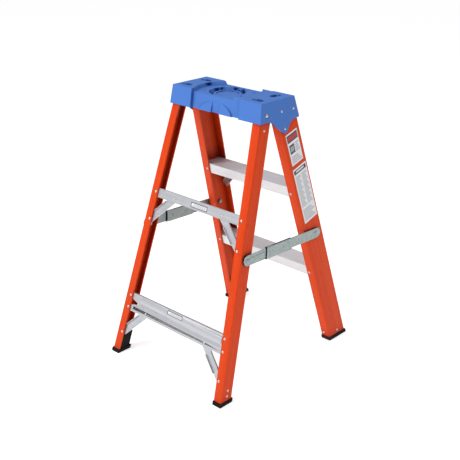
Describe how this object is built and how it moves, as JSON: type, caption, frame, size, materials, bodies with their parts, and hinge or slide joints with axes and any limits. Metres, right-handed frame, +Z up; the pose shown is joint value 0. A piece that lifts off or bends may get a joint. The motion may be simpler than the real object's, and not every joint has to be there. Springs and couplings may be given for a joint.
{
  "type": "step ladder",
  "caption": "Folding fibreglass step ladder with a moulded tool-tray cap, ridged aluminium treads, braced rear frame and hinged side spreaders.",
  "frame": {"origin": "on the floor under the middle of the ladder's open footprint", "axes": "+Z up, +X across the ladder, climbing side faces -Y"},
  "size_m": [0.502, 0.6482, 0.877],
  "materials": {
    "cap_plastic": "moulded blue plastic, fine texture, satin",
    "fibreglass": "pultruded orange fibreglass, semi-gloss with faint fibres",
    "tread_aluminium": "extruded, brushed along its length",
    "brace_aluminium": "mill finish",
    "spreader_steel": "galvanised, dull grey",
    "fastener_steel": "plated, satin",
    "black_rubber": "moulded black rubber, matt",
    "washer_nylon": "dark nylon",
    "rail_label": null,
    "label": null
  },
  "bodies": {
    "front_frame": {"top_cap": "cap_plastic", "front_rail_left": "fibreglass", "front_rail_right": "fibreglass", "upper_tread": "tread_aluminium", "lower_tread": "tread_aluminium", "tread_knee_brace_upper_left": "brace_aluminium", "tread_knee_brace_upper_right": "brace_aluminium", "tread_knee_brace_lower_left": "brace_aluminium", "tread_knee_brace_lower_right": "brace_aluminium", "front_foot_left": "black_rubber", "front_foot_right": "black_rubber", "cap_rivets": "fastener_steel", "tread_rivets": "fastener_steel", "tread_brace_rivets": "fastener_steel", "front_foot_rivets": "fastener_steel", "hinge_pins": "fastener_steel", "front_spreader_bolts": "spreader_steel", "front_spreader_nuts": "spreader_steel", "front_spreader_washers": "washer_nylon", "rail_label_upper": "rail_label", "rail_label_lower": "rail_label"},
    "rear_frame": {"rear_rail_left": "fibreglass", "rear_rail_right": "fibreglass", "rear_upper_brace": "brace_aluminium", "rear_lower_brace": "brace_aluminium", "upper_knee_brace_left": "brace_aluminium", "upper_knee_brace_right": "brace_aluminium", "lower_knee_brace_left": "brace_aluminium", "lower_knee_brace_right": "brace_aluminium", "rear_foot_left": "black_rubber", "rear_foot_right": "black_rubber", "hinge_bracket_left": "spreader_steel", "hinge_bracket_right": "spreader_steel", "hinge_washers": "washer_nylon", "brace_rivets": "fastener_steel", "knee_brace_rivets": "fastener_steel", "rear_foot_rivets": "fastener_steel", "bracket_rivets": "fastener_steel", "rear_spreader_bolts": "spreader_steel", "rear_spreader_nuts": "spreader_steel", "rear_spreader_spacers": "black_rubber", "brace_label_upper": "label", "brace_label_lower": "label"},
    "front_link_left": {"spreader_front_bar_left": "spreader_steel", "bar_pivot_stud_left": "fastener_steel"},
    "rear_link_left": {"spreader_rear_bar_left": "spreader_steel", "spreader_sleeve_left": "spreader_steel", "spreader_stop_left": "black_rubber", "sleeve_rivets_left": "spreader_steel"},
    "front_link_right": {"spreader_front_bar_right": "spreader_steel", "bar_pivot_stud_right": "fastener_steel"},
    "rear_link_right": {"spreader_rear_bar_right": "spreader_steel", "spreader_sleeve_right": "spreader_steel", "spreader_stop_right": "black_rubber", "sleeve_rivets_right": "spreader_steel"}
  },
  "joints": [
    {"name": "rear_frame_fold", "type": "hinge", "parent": "front_frame", "child": "rear_frame", "pos_m": [0, 0.06147, 0.8395], "axis": [-1, 0, 0], "range_deg": [0, 32]},
    {"name": "front_link_swing_left", "type": "hinge", "parent": "front_frame", "child": "front_link_left", "pos_m": [-0.216, -0.155, 0.4165], "axis": [1, 0, 0], "range_deg": [0, 80.17]},
    {"name": "rear_link_swing_left", "type": "hinge", "parent": "rear_frame", "child": "rear_link_left", "pos_m": [-0.216, 0.174, 0.429], "axis": [-1, 0, 0], "range_deg": [0, 34.17]},
    {"name": "front_link_swing_right", "type": "hinge", "parent": "front_frame", "child": "front_link_right", "pos_m": [0.216, -0.155, 0.4165], "axis": [1, 0, 0], "range_deg": [0, 80.17]},
    {"name": "rear_link_swing_right", "type": "hinge", "parent": "rear_frame", "child": "rear_link_right", "pos_m": [0.216, 0.174, 0.429], "axis": [-1, 0, 0], "range_deg": [0, 34.17]}
  ],
  "couplings": [
    {"joint": "front_link_swing_left", "follows": "rear_frame_fold", "ratio": 2.5038},
    {"joint": "rear_link_swing_left", "follows": "rear_frame_fold", "ratio": 1.0662},
    {"joint": "front_link_swing_right", "follows": "rear_frame_fold", "ratio": 2.5038},
    {"joint": "rear_link_swing_right", "follows": "rear_frame_fold", "ratio": 1.0662}
  ]
}
